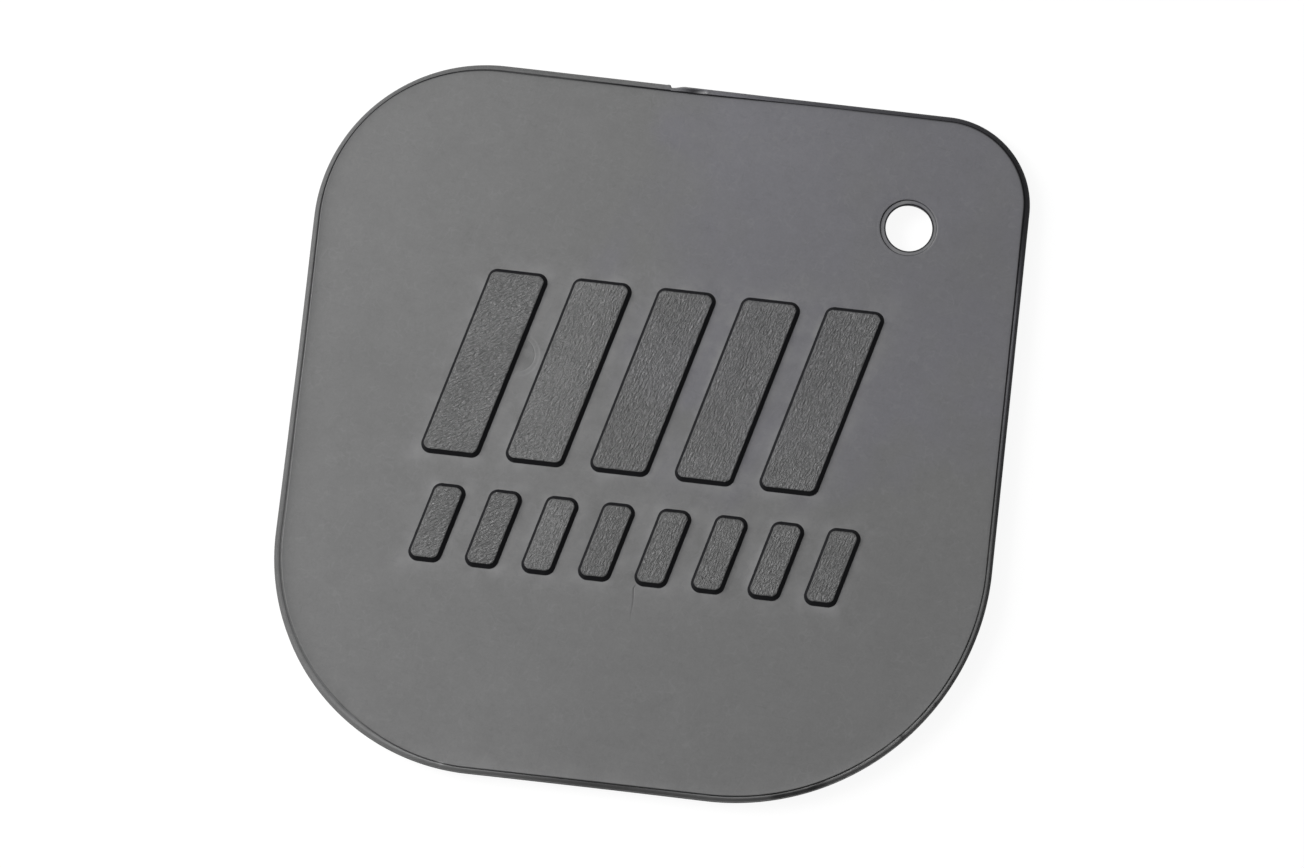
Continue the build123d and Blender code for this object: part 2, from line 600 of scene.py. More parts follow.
def rim_point(place, loop):
    """Where a loop of the rim's profile lies at a place of the outline."""
    point, inward = place
    across, up = loop[:2]
    rim = rim_around(point)
    wave = uneven(point, *EDGE_WAVE)
    over_land = ease((across - SLOPE_WIDTH) / (RIM_WIDTH - SLOPE_WIDTH))
    moved = across + wave + rim.draw + (rim.width - RIM_WIDTH) * over_land
    height = up - rim.fall * (1 - over_land) * (up > FACE_HEIGHT / 2)
    if up > FACE_HEIGHT:
        rise_share = max(FACE_RISE_SHARE + FACE_RISE_TOWARDS.dot(inward), 0)
        height = FACE_HEIGHT + (up - FACE_HEIGHT) * rise_share
    if SLOPE_WIDTH / 2 < across < RIM_WIDTH and FACE_HEIGHT / 2 < up < FACE_HEIGHT:
        height += RIM_STEP * (1 - rim.sharpness) * uneven(point, *STEP_FILL)
    drawn_in, lowered = rim_marks(place, across, up)
    placed = point + inward * (moved + drawn_in)
    return (placed.x, placed.y, height - lowered)


def rim_shade(place, loop):
    """How dark the rim is: painted shade of its step, slope, land, face edge and hollow, and marks.
    """
    point, inward = place
    across = loop.across
    rim = rim_around(point)
    over_land = ease((across - SLOPE_WIDTH) / (RIM_WIDTH - SLOPE_WIDTH))
    spread = 1 - over_land * (1 - min(rim.fall / FULL_FALL, 1))
    # Painted shade over the slope, and over the land where it falls
    grime = rim.grime * spread * (across < RIM_WIDTH + GUARD)
    darkest = max(loop.shade * rim.sharpness, grime, 0)
    if across >= RIM_WIDTH:
        # Painted shade on the face along the rim, none on the bottom side
        away = 1 - ease(FACE_PAINTED_SHADE_TURN * inward.y)
        return max(darkest, FACE_PAINTED_SHADE * fade(across - RIM_WIDTH, FACE_PAINTED_SHADE_REACH) * away)
    scuff = SCUFF_SHADE * scuff_share(point, across)
    tick = DARK_TICK_SHADE * tick_share(point + inward * across)
    # Painted shade in the torn hollow
    torn = 0
    if on_top_side(inward):
        torn = SCAR_PAINTED_SHADE * scar_share(point.x) * ease(across / SLOPE_WIDTH)
    return max(darkest, scuff, tick, torn)


def rim_profile():
    """From the back round its edge, up the wall and over the slope, the land and the step."""
    land = FACE_HEIGHT - RIM_STEP
    foot = RIM_WIDTH - STEP_LEAN
    # Corner shades are painted shade: on the lower wall, in the step's groove and at the face's
    # edge
    corners = [
        (BACK_BREAK + 2 * GUARD, 0, 0, 0, FACE),
        (BACK_BREAK + GUARD, 0, 0, 0, FACE),
        (BACK_BREAK, 0, 0, 0, EDGE),
        (BACK_BREAK_BULGE, BACK_BREAK_BULGE, 0, 0, EDGE),
        (0, BACK_BREAK, 0, WALL_SHADE, EDGE),
        (0, FACE_HEIGHT / 2, 0, WALL_SHADE, EDGE),
        (0, land - SLOPE_DEPTH, SLOPE_FOOT_ROUND, 0, EDGE),
        (SLOPE_WIDTH, land, SLOPE_TOP_ROUND, 0, EDGE),
        (foot - 2 * STEP_GROOVE, land, 0, 0, WALL),
        (foot - STEP_GROOVE, land - STEP_GROOVE, STEP_GROOVE_ROUND, 1, WALL),
        (foot, land - STEP_GROOVE, STEP_GROOVE_ROUND, 1, WALL),
        (RIM_WIDTH, FACE_HEIGHT + FACE_RISE, FACE_EDGE_ROUND, FACE_EDGE_SHADE, FACE),
    ]
    for reach in FACE_RISE_LOOPS:
        height = FACE_HEIGHT + FACE_RISE * fade(reach, FACE_RISE_REACH)
        corners.append((RIM_WIDTH + reach, height, 0, 0, FACE))
    return soft_line(corners)


def build_rim(shell):
    """The plate's edge, from the back to the front face. Gives the back loop and the face loop."""
    corners = [Vector(sides) * HALF_SIDE for sides in CORNER_RADII]
    radii = list(CORNER_RADII.values())
    draw_ins = (DRAW_IN_BOTTOM, DRAW_IN_RIGHT, DRAW_IN_TOP, DRAW_IN_LEFT)
    places = rounded_loop(corners, radii, draw_ins, gate_step, EDGE_STEP)
    profile = rim_profile()
    loops = shell.sweep(profile, lambda loop: [rim_point(place, loop) for place in places])
    for loop, numbers in zip(profile, loops):
        if FACE_HEIGHT / 2 < loop.up:
            for number, place in zip(numbers, places):
                shell.shades[number] = rim_shade(place, loop)
    return loops[0], loops[-1]


def gate_step(point):
    """Spacing of the outline's points, close beside the gate mark."""
    beside = NICK_START - GATE_BEFORE < point.x < SCAR_LIP + GATE_AFTER
    return GATE_STEP if beside and point.y > HALF_SIDE - GATE_BAND else EDGE_STEP


def hole_profile():
    """From a low lip on the face, down the recess and the bore, and out along the flare."""
    mouth = HOLE_RADIUS + RECESS_WIDTH
    recess_edge = mouth - RECESS_LEAN
    back = HOLE_RADIUS + FLARE_WIDTH
    back_edge = back + BACK_BREAK / 2
    # Corner shades are painted shade: round the recess, darkest at the bore's edge, and in the
    # flare
    corners = [
        (mouth + HOLE_LIP_REACH + GUARD, FACE_HEIGHT, 0, 0, FACE),
        (mouth + HOLE_LIP_REACH, FACE_HEIGHT, 0, 0, FACE),
        (mouth + HOLE_LIP_REACH / 2, FACE_HEIGHT + HOLE_LIP_RISE, 0, 0, FACE),
        (mouth, FACE_HEIGHT, RECESS_ROUND, RECESS_TOP_SHADE, WALL),
        (recess_edge, RECESS_FLOOR, RECESS_ROUND, RECESS_FOOT_SHADE, WALL),
        (recess_edge - GUARD, RECESS_FLOOR, 0, 0, FACE),
        (HOLE_RADIUS + BORE_LINE, RECESS_FLOOR, 0, 0, WALL),
        (HOLE_RADIUS, RECESS_FLOOR, BORE_EDGE_ROUND, BORE_EDGE_SHADE, WALL),
        (HOLE_RADIUS, RECESS_FLOOR - BORE_STRAIGHT, FLARE_ROUND, FLARE_SHADE, WALL),
        (back, BACK_BREAK / 2, 0, FLARE_SHADE, WALL),
        (back_edge, 0, 0, 0, FACE),
        (back_edge + GUARD, 0, 0, 0, FACE),
    ]
    return soft_line(corners)


def hole_points(loop):
    """The points of one loop of the hole's profile. The recess is a little out of line."""
    in_recess = ease((loop.across - HOLE_RADIUS - BORE_LINE) / GUARD)
    centre = HOLE_CENTRE + RECESS_SHIFT * in_recess * (loop.up >= RECESS_FLOOR)
    wobble_share = HOLE_WOBBLE_SHARE * (loop.up > RECESS_FLOOR)
    points = []
    for k in range(CIRCLE_STEPS):
        angle = 2 * pi * k / CIRCLE_STEPS
        wobble = 1 + wobble_share * sin(HOLE_LOBES * angle + 1)
        place = centre + direction(angle) * loop.across * wobble
        points.append((place.x, place.y, loop.up))
    return points


def build_hole(shell):
    """The hanging hole. Gives its loops on the face and on the back."""
    loops = shell.sweep(hole_profile(), hole_points)
    shell.settle(loops[0])
    return loops[0], loops[-1]


def grain(point, angle, seed):
    """Leathery wrinkles of a pad's top, 0 to 1, drawn out along an angle, with a slow drift."""
    seeds = (seed, seed + DRIFT_SEED)
    drift = Vector([noise_at(point, GRAIN_DRIFT_LENGTH, each) for each in seeds]) * GRAIN_DRIFT
    moved = point + drift
    along = (moved.x * cos(angle) + moved.y * sin(angle)) / GRAIN_LENGTH
    across = (moved.y * cos(angle) - moved.x * sin(angle)) / GRAIN_WIDTH
    along_scale, across_scale = GRAIN_WIDE_SCALES
    coarse = noise.noise(Vector((along, across, seed)))
    wide = noise.noise(Vector((along * along_scale, across * across_scale, seed + WIDE_SEED)))
    strength = uneven(point, *GRAIN_PATCHES, seed + PATCH_SEED)
    folds = GRAIN_COARSE_SHARE * coarse + GRAIN_WIDE_SHARE * wide
    return min(max(GRAIN_LEVEL + strength * folds, 0), 1)


def pad_top_height(point, pad, seed):
    """Height of a pad's top: a low crown with a leathery grain."""
    from_left = pad.centre.x / PAD_BLOCK_WIDTH + 1 / 2
    angle = GRAIN_ANGLE_LEFT + (GRAIN_ANGLE_RIGHT - GRAIN_ANGLE_LEFT) * from_left
    inside = max(pad.depth(point) - PAD_WALL_WIDTH - PAD_EDGE_ROUND, 0)
    crown = PAD_CROWN_DROP * fade(inside, PAD_CROWN_REACH)
    rough = 1 / 2 + (grain(point, angle, seed) - 1 / 2) * ease(inside / GRAIN_FADE)
    return RELIEF_TOP - crown - GRAIN_HEIGHT * (1 - rough)


def in_round_corner(point, pad):
    """Whether a point of a pad's top is inside the rounding of the corner nearest to it."""
    corners = pad.corners()
    nearest = min(range(len(corners)), key=lambda k: (point - corners[k]).length)
    if (point - corners[nearest]).length >= PAD_CORNER_NEAR:
        return True
    arrive, leave, _, centre = corner_arc(corners, nearest, PAD_CORNER)
    if (point - centre).dot(arrive) > 0 and (point - centre).dot(leave) < 0:
        return (point - centre).length < PAD_CORNER - PAD_TOP_INSET
    return True


def pad_top_points(pad, seed):
    """Close points over a pad's top, inside its edge."""
    half = Vector((pad.width + pad.length * tan(PAD_LEAN), pad.length)) / 2
    points = []
    for point in lattice(pad.centre - half, pad.centre + half, PAD_STEP):
        if pad.depth(point) >= PAD_TOP_INSET and in_round_corner(point, pad):
            points.append((point.x, point.y, pad_top_height(point, pad, seed)))
    return points


def pad_profile():
    """From the face up a pad's wall and over the edge of its top."""
    top = RELIEF_TOP - PAD_CROWN_DROP - GRAIN_HEIGHT / 2
    across_share, up_share = PAD_WALL_BEND_SHARES
    bend = (PAD_WALL_WIDTH * across_share, FACE_HEIGHT + PAD_HEIGHT * up_share)
    # Corner shades are painted shade: black down the wall, faint over the top's edge
    corners = [
        (-PAD_FOOT_CLEAR - GUARD, FACE_HEIGHT, 0, 0, FACE),
        (-PAD_FOOT_CLEAR, FACE_HEIGHT, 0, 0, FACE),
        (0, FACE_HEIGHT, PAD_FOOT_ROUND, 1, WALL),
        (*bend, 0, 1, WALL),
        (PAD_WALL_WIDTH, top, PAD_EDGE_ROUND, PAD_EDGE_SHADE, GRAIN),
        (PAD_WALL_WIDTH + PAD_EDGE_ROUND + GUARD, top, 0, 0, GRAIN),
    ]
    return soft_line(corners)


def pad_wall_point(place, loop, seed):
    """A point of a pad's wall, which is wider on some sides and waves a little."""
    point, inward = place
    up_wall = min(max(loop.across / PAD_WALL_WIDTH, 0), 1)
    lopsided = (PAD_WALL_LOPSIDED.dot(inward) - PAD_WALL_EXTRA * abs(inward.y)) * up_wall
    wave = PAD_WALL_WAVE * noise_at(point, PAD_WALL_WAVE_LENGTH, seed + WALL_SEED)
    placed = point + inward * (loop.across + wave * (loop.across > 0) - lopsided)
    return (placed.x, placed.y, loop.up)


def build_pad(shell, pad, seed):
    """One grip pad on the face. Gives the loop round its foot."""
    corners = pad.corners()
    radii = [PAD_CORNER] * len(corners)
    no_draw_ins = [0] * len(corners)
    places = rounded_loop(corners, radii, no_draw_ins, lambda point: EDGE_STEP, EDGE_STEP / 2)

    def wall_points(loop):
        return [pad_wall_point(place, loop, seed) for place in places]

    loops = shell.sweep(pad_profile(), wall_points)
    shell.settle(loops[0])
    shell.fill(loops[-1], [], shell.add(pad_top_points(pad, seed), 0), GRAIN)
    return loops[0]


def weld_x(y):
    """Where the weld line runs at this height of the face."""
    return WELD_X + WELD_BEND * sin(y * WELD_BEND_RATE)


def weld_share(point):
    """How strong the weld line is at a point of the face, 1 at its top and none beside it."""
    if not WELD_BOTTOM < point.y < WELD_TOP:
        return 0
    share = (point.y - WELD_BOTTOM) / (WELD_TOP - WELD_BOTTOM)
    return share * max(0, 1 - abs(point.x - weld_x(point.y)) / WELD_HALF_WIDTH)


def face_height(point):
    """Height of the front face: flat but for slow waves, the pin circle and the weld line."""
    height = uneven(point, *FACE_WAVE)
    from_pin = (point - PIN_CENTRE).length
    outside_pin = ease((from_pin - PIN_RADIUS + PIN_STEP_REACH) / (2 * PIN_STEP_REACH))
    height -= PIN_STEP * (1 - outside_pin)
    height -= PIN_LINE_DEPTH * bell(from_pin - PIN_LINE_RADIUS, PIN_LINE_REACH)
    return height - WELD_DEPTH * weld_share(point)


def mark_points():
    """Close points along the pin circle and the weld line, so that the face can follow them."""
    points = []
    for radius, reach in ((PIN_RADIUS, PIN_STEP_REACH), (PIN_LINE_RADIUS, PIN_LINE_SPREAD)):
        count = ceil(2 * pi * radius / RING_STEP)
        for share in RING_SHARES:
            for k in range(count):
                around = direction(2 * pi * k / count)
                points.append(PIN_CENTRE + around * (radius + share * reach))
    rows = ceil((WELD_TOP - WELD_BOTTOM) / WELD_STEP)
    for row in range(rows):
        y = WELD_BOTTOM + (WELD_TOP - WELD_BOTTOM) * (row + 1 / 2) / rows
        for column in range(-2, 3):
            points.append(Vector((weld_x(y) + column * WELD_HALF_WIDTH, y)))
    return points


def is_open(point, pads, margin):
    """Whether a point of the face is clear of the hole, the rim and the pads by a margin."""
    hole_edge = HOLE_RADIUS + RECESS_WIDTH + HOLE_LIP_REACH + GUARD
    rim_edge = max(rim.draw + rim.width for rim in RIM_AROUND) + FACE_RISE_LOOPS[-1]
    from_hole = (point - HOLE_CENTRE).length - hole_edge
    from_rim = plate_depth(point) - rim_edge - 2 * DRAW_IN_TOP
    from_pads = -max(pad.depth(point) for pad in pads) - (PAD_FOOT_CLEAR + GUARD)
    return min(from_hole, from_rim, from_pads) > margin


def face_cell(point):
    """The square of the face that a point lies in."""
    return (round(point.x / FACE_STEP), round(point.y / FACE_STEP))


def face_points(pads):
    """Points over the open face, close along its small marks and wide elsewhere."""
    marks = [point for point in mark_points() if is_open(point, pads, GUARD)]
    taken = {face_cell(point) for point in marks}
    corner = Vector((HALF_SIDE, HALF_SIDE))
    points = marks
    for point in lattice(-corner, corner, FACE_STEP):
        if face_cell(point) not in taken and is_open(point, pads, FACE_CLEAR):
            points.append(point)
    return points


def back_points():
    """Wide points over the flat back."""
    corner = Vector((HALF_SIDE, HALF_SIDE))
    hole_edge = HOLE_RADIUS + FLARE_WIDTH + BACK_BREAK + BACK_CLEAR
    points = []
    for point in lattice(-corner, corner, BACK_STEP):
        inside_edge = plate_depth(point) > BACK_BREAK + BACK_CLEAR
        if inside_edge and (point - HOLE_CENTRE).length > hole_edge:
            points.append((point.x, point.y, 0))
    return points


def build_scraper():
    """The whole moulding as one closed mesh, and its pads."""
    shell = Shell()
    pads = all_pads()
    back_loop, face_loop = build_rim(shell)
    hole_face_loop, hole_back_loop = build_hole(shell)
    foot_loops = [build_pad(shell, pad, seed) for seed, pad in enumerate(pads)]
    on_face = face_points(pads)
    inner = shell.add([(point.x, point.y, face_height(point)) for point in on_face], 0)
    for number, point in zip(inner, on_face):
        shell.shades[number] = weld_share(point)
    shell.fill(face_loop, foot_loops + [hole_face_loop], inner, FACE)
    shell.fill(back_loop, [hole_back_loop], shell.add(back_points(), 0), FACE, up=False)
    shell.drop_unused()
    return shell, pads


def painted_light_at(point, pads):
    """Painted light: paler in the hole's recess, on the face round the pads and inside the lower
    rim.
    """
    x, y, z = point
    place = Vector((x, y))
    if z > FACE_HEIGHT / 2 and (place - HOLE_CENTRE).length - HOLE_RADIUS < RECESS_WIDTH:
        return 1.0
    if abs(z - FACE_HEIGHT) > PAINTED_LIGHT_BAND:
        return 0.0
    outside_pads = -max(pad.depth(place) for pad in pads)
    low_left = ease((STRIP_TOP - y) / STRIP_FADE) * ease((STRIP_RIGHT - x) / STRIP_FADE)
    strip = STRIP_PAINTED_LIGHT * low_left * fade(plate_depth(place) - RIM_WIDTH, STRIP_REACH)
    return max(fade(outside_pads, PAINTED_LIGHT_REACH), strip)


def pale_at(point):
    """How pale the rim is: painted light on it, a fleck, and the torn hollow's two pale lips."""
    x, y, z = point
    place = Vector((x, y))
    depth = plate_depth(place)
    if z < FACE_HEIGHT / 2 or depth > PALE_DEPTH:
        return 0.0
    rim = rim_around(place)
    step_left = 1 - ease((-rim.grime - STEP_PAINTED_LIGHT_START) / (1 - STEP_PAINTED_LIGHT_START))
    on_rim = depth < rim.draw + rim.width - STEP_LINE * step_left
    unmarked = 1 - max(scuff_share(place, depth), tick_share(place))
    # Painted light that makes the rim paler, left out where the rim is marked
    painted_rim_light = max(-rim.grime, 0) * on_rim * unmarked
    if y < HALF_SIDE - GATE_BAND:
        return max(painted_rim_light, bell((place - PALE_FLECK).length, PALE_FLECK_REACH))
    below = (depth - nick_depth(x)) / SLOPE_WIDTH
    left = PALE_LIP_LEFT_SHARE * bell(x - PALE_LIP_LEFT, PALE_LIP_REACH) * (1 - ease(below))
    right = PALE_LIP_RIGHT_SHARE * bell(x - PALE_LIP_RIGHT, PALE_LIP_REACH) * ease(below - 1)
    return max(painted_rim_light, left, right)


# Plastic colours, linear
GREY_PLAIN = (0.1125, 0.1127, 0.1128, 1)
GREY_VIOLET = (0.109, 0.108, 0.119, 1)
# Near black of the painted shade in walls, grooves and hollows, and of the dark marks
PAINTED_SHADE_AND_MARK_BLACK = (0.006, 0.006, 0.007, 1)
# Grey of the painted light, and of the pale scratches and curved marks
PAINTED_LIGHT_AND_SCRATCH_GREY = (0.150, 0.150, 0.152, 1)
# Grey of the painted light on the rim, and of the fleck and the torn hollow's pale lips
PAINTED_LIGHT_AND_PALE_MARK_GREY = (0.3, 0.3, 0.3, 1)

# A noise is given by its waves a millimetre, detail and roughness. A range is given by the low
# and high value that come in and the values that they become. Clouds are a noise and its range.

# Violet tint: the wander of its edge, its two edges, its clouds and its strength on the pads
TINT_WANDER = ((0.15, 3), (0.2, 0.8, -8, 8))
TINT_RIGHT_RANGE = (-5, 4, 0, 1)
TINT_UP_RANGE = (-5, 6, 0, 1)
TINT_CLOUDS = ((0.12, 2), (0.3, 0.7, 0.6, 1.4))
PAD_TINT_SHARE = 0.3

# Mottling of the plastic: waves a millimetre, detail, and share of the speckle
MOTTLES = ((0.3, 5, 0.8), (1.4, 3, 1.0), (5.0, 3, 1.2))
MOTTLE_ROUGHNESS = 0.6
MOTTLE_SPAN = (0.3, 0.7)

# Painted light and shade in slow patches: place, reach and share by which the face is lighter there
PAINTED_LIGHT_AND_SHADE_PATCHES = (
    ((9, 34), 16, 0.09),
    ((33, 22), 11, -0.06),
    ((-29, 1), 12, -0.05),
    ((-13, -31), 11, 0.05),
    ((22, -8), 10, -0.04),
)

# Wrinkles of the pad tops: lengths, noise, where they turn steep, and painted shade and highlight
WRINKLE_LENGTHS = (0.55, 0.19, 1.0)
WRINKLE_NOISE = (1.0, 3, 0.6, 0.5)
WRINKLE_TURN_RANGE = (-15, -5, 0, 1)
WRINKLE_SHADE_AND_HIGHLIGHT_RANGE = (0.3, 0.7, 0.75, 1.25)
BLOTCHES = ((0.16, 2), (0.35, 0.65, 0.9, 1.1))
# Painted shade that darkens the pad tops towards the right
PAD_PAINTED_SHADE_RIGHT_RANGE = (-14, -2, 1.04, 0.8)

# Scratches: turn, lengths of the stretched noise, where they start to show, and depth of tone
PALE_SCRATCHES = (
    (radians(64), (8.0, 0.2, 1.0), 0.62, 0.25),
    (radians(20), (5.0, 0.2, 1.0), 0.64, 0.25),
)
DARK_SCRATCHES = (
    (radians(-8), (4.0, 0.18, 1.0), 0.6, 0.1),
    (radians(82), (3.0, 0.18, 1.0), 0.62, 0.1),
)
SCRATCH_NOISE = (1.0, 3, 0.7)
SCRATCH_EDGE = 0.14

# Short curved marks: waves a millimetre, half width of the line in the noise, depth of tone
PALE_SQUIGGLES = (0.9, 0.045, 0.22)
DARK_SQUIGGLES = (1.1, 0.04, 0.08)
SQUIGGLE_BREAK_SHARE = 0.7
SQUIGGLE_BREAKS = (2, 0.6)
SQUIGGLE_BREAK_RANGE = (0.5, 0.6, 0, 1)

# Clouds of the painted light, roughness and bump
PAINTED_LIGHT_CLOUDS = ((0.35, 3), (0.35, 0.7, 0, 1))
ROUGHNESS = ((0.5, 4, 0.6), (0.3, 0.7, 0.38, 0.46))
CREASE_ROUGHNESS = 0.25
BUMP_NOISE = (4.0, 4, 0.65)
BUMP_DISTANCE = 0.02


def set_inputs(tree, node, inputs):
    """Gives a node's inputs their values, or links them to outputs of other nodes."""
    for name, value in inputs.items():
        if isinstance(value, bpy.types.NodeSocket):
            tree.links.new(value, node.inputs[name])
        else:
            node.inputs[name].default_value = value


def new_node(tree, kind, inputs, **settings):
    """A node with its settings and inputs."""
    node = tree.nodes.new(kind)
    for name, value in settings.items():
        setattr(node, name, value)
    set_inputs(tree, node, inputs)
    return node


def noise_node(tree, place, waves, detail=2.0, roughness=0.5, distortion=0.0):
    """Noise of so many waves a millimetre."""
    inputs = {"Vector": place, "Scale": waves, "Detail": detail, "Roughness": roughness}
    inputs["Distortion"] = distortion
    return new_node(tree, "ShaderNodeTexNoise", inputs).outputs["Fac"]


def remap(tree, value, low, high, to_low, to_high, kind="LINEAR"):
    """A value moved from one range to another and kept in it."""
    inputs = {"From Min": low, "From Max": high, "To Min": to_low, "To Max": to_high}
    inputs["Value"] = value
    return new_node(tree, "ShaderNodeMapRange", inputs, interpolation_type=kind).outputs["Result"]


def clouds(tree, place, noise_values, span):
    """Noise moved to another range."""
    return remap(tree, noise_node(tree, place, *noise_values), *span)


def combine(tree, operation, first, second):
    """Two values, or a value and a number, in one sum."""
    inputs = {0: first, 1: second}
    return new_node(tree, "ShaderNodeMath", inputs, operation=operation).outputs["Value"]


def multiply(tree, first, second):
    """Two values, or a value and a number, multiplied."""
    return combine(tree, "MULTIPLY", first, second)


def mix_colour(tree, share, first, second, blend="MIX"):
    """Two colours mixed by a value. A mix node has its colours in inputs 6 and 7."""
    inputs = {0: share, 6: first, 7: second}
    node = new_node(tree, "ShaderNodeMix", inputs, data_type="RGBA", blend_type=blend)
    return node.outputs[2]


def plate_coordinates(tree, turn=0.0, lengths=(1.0, 1.0, 1.0)):
    """Places on the object along axes turned about Z, in these lengths, in millimetres."""
    place = new_node(tree, "ShaderNodeTexCoord", {}).outputs["Object"]
    scale = [length * MM for length in lengths]
    inputs = {"Vector": place, "Rotation": (0, 0, turn), "Scale": scale}
    return new_node(tree, "ShaderNodeMapping", inputs, vector_type="TEXTURE").outputs["Vector"]


def separate(tree, place):
    """The X and Y of a place."""
    axes = new_node(tree, "ShaderNodeSeparateXYZ", {"Vector": place})
    return axes.outputs["X"], axes.outputs["Y"]


def attribute(tree, name):
    """A value that the mesh carries."""
    return new_node(tree, "ShaderNodeAttribute", {}, attribute_name=name).outputs["Fac"]


def tint_share(tree, place, x, y):
    """How violet the plastic is: in the upper right quarter, with a wandering edge."""
    wander = clouds(tree, place, *TINT_WANDER)
    across = combine(tree, "ADD", x, wander)
    upward = combine(tree, "ADD", y, wander)
    to_right = remap(tree, across, *TINT_RIGHT_RANGE)
    upwards = remap(tree, upward, *TINT_UP_RANGE)
    cloudy = clouds(tree, place, *TINT_CLOUDS)
    return multiply(tree, multiply(tree, to_right, upwards), cloudy)


def mottled_tone(tree, place, speckle, lightness):
    """How light the plastic is, mottled in several sizes, with slow patches of painted light and
    shade.
    """
    tone = lightness
    for waves, detail, share in MOTTLES:
        swing = share * speckle
        span = (*MOTTLE_SPAN, 1 - swing, 1 + swing)
        mottle = clouds(tree, place, (waves, detail, MOTTLE_ROUGHNESS), span)
        tone = multiply(tree, mottle, tone)
    # Slow patches of painted light and shade
    for (x, y), reach, share in PAINTED_LIGHT_AND_SHADE_PATCHES:
        ends = {0: place, 1: (x, y, FACE_HEIGHT)}
        away = new_node(tree, "ShaderNodeVectorMath", ends, operation="DISTANCE").outputs["Value"]
        patch = remap(tree, away, 0, reach, 1 + share, 1, "SMOOTHSTEP")
        tone = multiply(tree, patch, tone)
    return tone


def leather(tree, place):
    """Fine wrinkles of the pad tops, level on the left and steep on the right, about 0.3 to 0.7."""
    x = separate(tree, place)[0]
    to_right = remap(tree, x, *WRINKLE_TURN_RANGE)
    to_left = combine(tree, "SUBTRACT", 1, to_right)
    parts = []
    for angle, share in ((GRAIN_ANGLE_LEFT, to_left), (GRAIN_ANGLE_RIGHT, to_right)):
        turned = plate_coordinates(tree, angle, WRINKLE_LENGTHS)
        parts.append(multiply(tree, noise_node(tree, turned, *WRINKLE_NOISE), share))
    return combine(tree, "ADD", *parts)


def wrinkled_tone(tree, place, x, tone, folds):
    """A pad tone: painted shade and highlight of the folds, blotches, and painted shade to the
    right.
    """
    # Painted shade in the wrinkles' hollows and painted highlight on their ridges
    tone = multiply(tree, tone, remap(tree, folds, *WRINKLE_SHADE_AND_HIGHLIGHT_RANGE))
    blotches = clouds(tree, place, *BLOTCHES)
    # Painted shade, darker towards the right
    painted_shade_right = remap(tree, x, *PAD_PAINTED_SHADE_RIGHT_RANGE)
    return multiply(tree, tone, multiply(tree, blotches, painted_shade_right))


def scratches(tree, families):
    """Fine scratches of several directions, 0 where there is none."""
    total = 0.0
    for turn, lengths, start, strength in families:
        along = noise_node(tree, plate_coordinates(tree, turn, lengths), *SCRATCH_NOISE)
        shown = remap(tree, along, start, start + SCRATCH_EDGE, 0, strength)
        total = combine(tree, "ADD", shown, total)
    return total


def squiggles(tree, place, waves, half_width, strength):
    """Short curved marks where smooth noise passes its middle, broken up by other noise."""
    level = combine(tree, "SUBTRACT", noise_node(tree, place, waves, 1), 1 / 2)
    line = remap(tree, combine(tree, "ABSOLUTE", level, 0), 0, half_width, strength, 0)
    breaks = (SQUIGGLE_BREAK_SHARE * waves, *SQUIGGLE_BREAKS)
    return multiply(tree, line, clouds(tree, place, breaks, SQUIGGLE_BREAK_RANGE))


def fine_marks(tree, place, scratch_families, squiggle_values):
    """Scratches and short curved marks of one tone."""
    straight = scratches(tree, scratch_families)
    return combine(tree, "ADD", straight, squiggles(tree, place, *squiggle_values))


def plastic_colour(tree, place, speckle, lightness, folds):
    """The plastic's own colour, with its tint, its mottling and the folds of the pad tops."""
    x, y = separate(tree, place)
    tinted = tint_share(tree, place, x, y)
    if folds:
        tinted = multiply(tree, tinted, PAD_TINT_SHARE)
    colour = mix_colour(tree, tinted, GREY_PLAIN, GREY_VIOLET)
    tone = mottled_tone(tree, place, speckle, lightness)
    if folds:
        tone = wrinkled_tone(tree, place, x, tone, folds)
    return mix_colour(tree, 1.0, colour, tone, "MULTIPLY")


